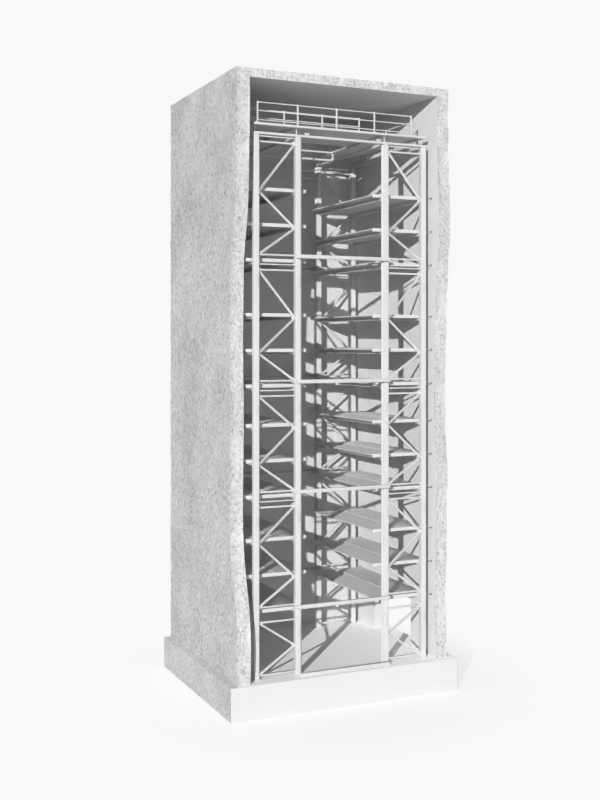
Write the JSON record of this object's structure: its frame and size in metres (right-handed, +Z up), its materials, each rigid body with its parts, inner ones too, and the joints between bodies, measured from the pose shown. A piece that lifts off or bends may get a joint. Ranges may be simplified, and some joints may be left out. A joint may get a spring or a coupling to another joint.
{
  "type": "cut-away multi storey parking tower",
  "caption": "Cut-away parking tower: a rough concrete shell on a plinth round a braced white steel rack with stacked decks, a lift shaft, a railed top platform and a side doorway.",
  "frame": {"origin": "middle of the plinth's underside, on the ground", "axes": "+Z up; the open front faces -Y; the doorway is in the right wall, towards +X"},
  "size_m": [12.88, 10.53, 31.9],
  "materials": {
    "shell_concrete": "rough cast concrete",
    "base_concrete": "pale concrete",
    "white_steel": "satin white paint",
    "deck_steel": "pale grey paint"
  },
  "bodies": {
    "root": {"back_girders": "white_steel", "back_left_bracing": "white_steel", "back_left_inner_post": "white_steel", "back_left_outer_post": "white_steel", "back_right_bracing": "white_steel", "back_right_inner_post": "white_steel", "back_right_outer_post": "white_steel", "back_wall": "shell_concrete", "base_plinth": "base_concrete", "front_girders": "white_steel", "front_left_bracing": "white_steel", "front_left_inner_post": "white_steel", "front_left_outer_post": "white_steel", "front_railing": "white_steel", "front_right_bracing": "white_steel", "front_right_inner_post": "white_steel", "front_right_outer_post": "white_steel", "inner_railing": "white_steel", "left_deck_rails": "white_steel", "left_decks_1": "deck_steel", "left_decks_2": "deck_steel", "left_decks_3": "deck_steel", "left_decks_4": "deck_steel", "left_wall": "shell_concrete", "left_wall_ties": "white_steel", "lift_guides": "white_steel", "platform_back_beams": "white_steel", "platform_floor": "deck_steel", "platform_front_beams": "white_steel", "platform_joists": "white_steel", "right_deck_rails": "white_steel", "right_decks_1": "deck_steel", "right_decks_2": "deck_steel", "right_decks_3": "deck_steel", "right_decks_4": "deck_steel", "right_wall_front": "shell_concrete", "right_wall_rear": "shell_concrete", "right_wall_ties": "white_steel", "right_wall_upper": "shell_concrete", "roof_slab": "shell_concrete", "shaft_sill": "white_steel", "side_railing": "white_steel"}
  },
  "joints": []
}
